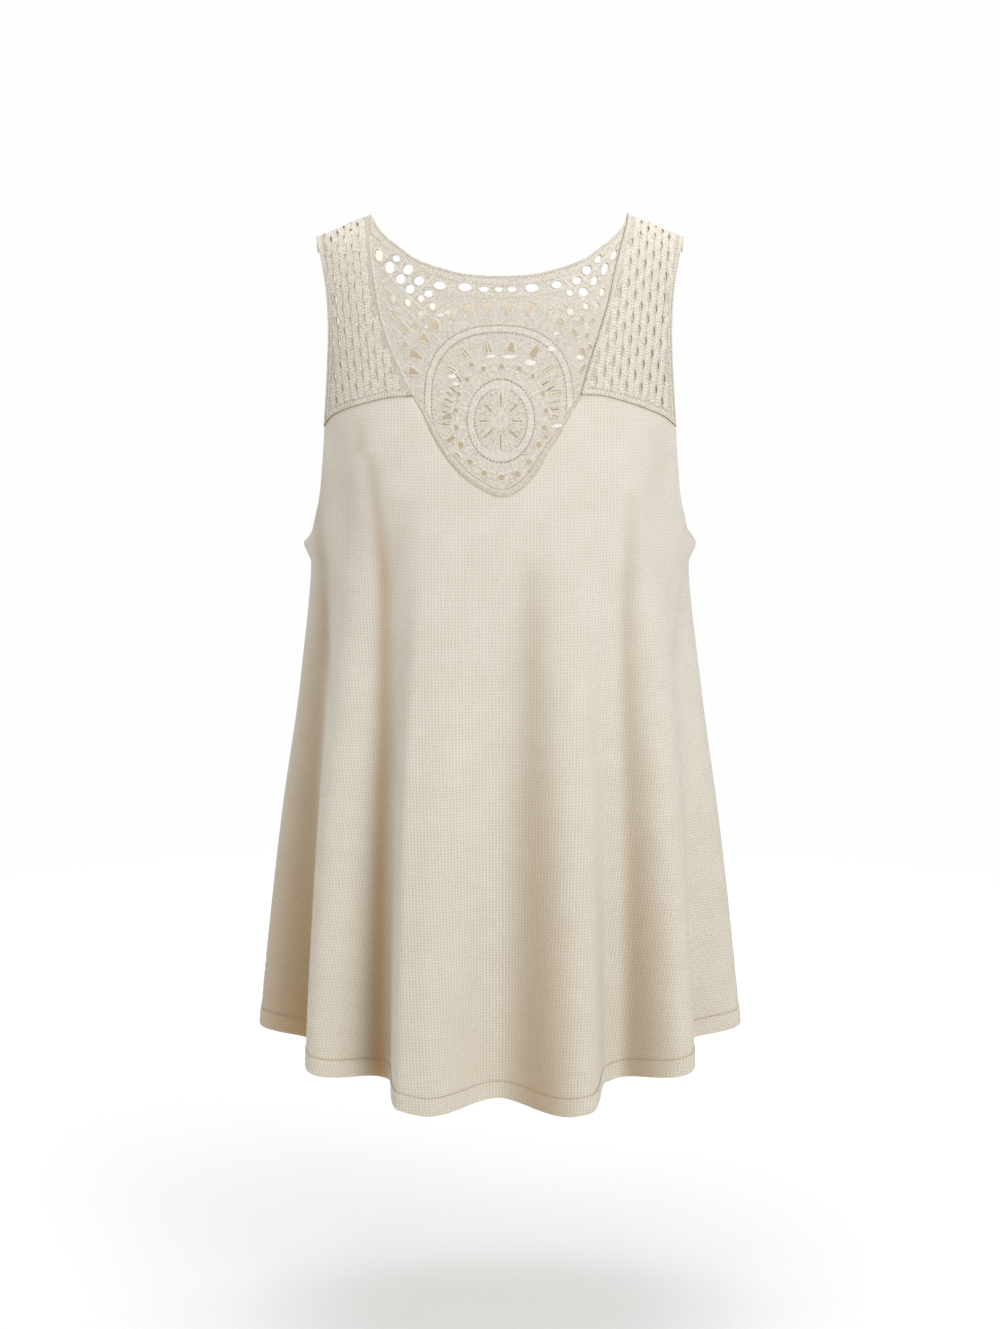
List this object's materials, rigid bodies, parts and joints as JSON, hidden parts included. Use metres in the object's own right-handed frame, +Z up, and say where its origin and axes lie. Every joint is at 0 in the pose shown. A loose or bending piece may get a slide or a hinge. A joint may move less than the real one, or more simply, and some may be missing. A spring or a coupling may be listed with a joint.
{
  "type": "crochet top",
  "caption": "Sleeveless A-line swing top in waffle knit, with a crochet yoke, a round medallion inset and a scoop neck, kept in its hollow worn form.",
  "frame": {"origin": "midway between the two high shoulder points, at their height, where a wearer's shoulders hold the top", "axes": "+Z up the garment, +X to the right seen from the front, the front faces -Y"},
  "size_m": [0.4216, 0.3176, 0.7413],
  "materials": {
    "waffle_knit": "matt cotton waffle knit, oatmeal",
    "crochet": "matt cotton crochet, oatmeal",
    "rolled_edge": "matt rolled knit edge, oatmeal"
  },
  "bodies": {
    "root": {"front_body": "waffle_knit", "back_body": "waffle_knit", "shoulder_panel_left": "crochet", "shoulder_panel_right": "crochet", "medallion_inset": "crochet", "notch_roll": "rolled_edge"}
  },
  "joints": []
}
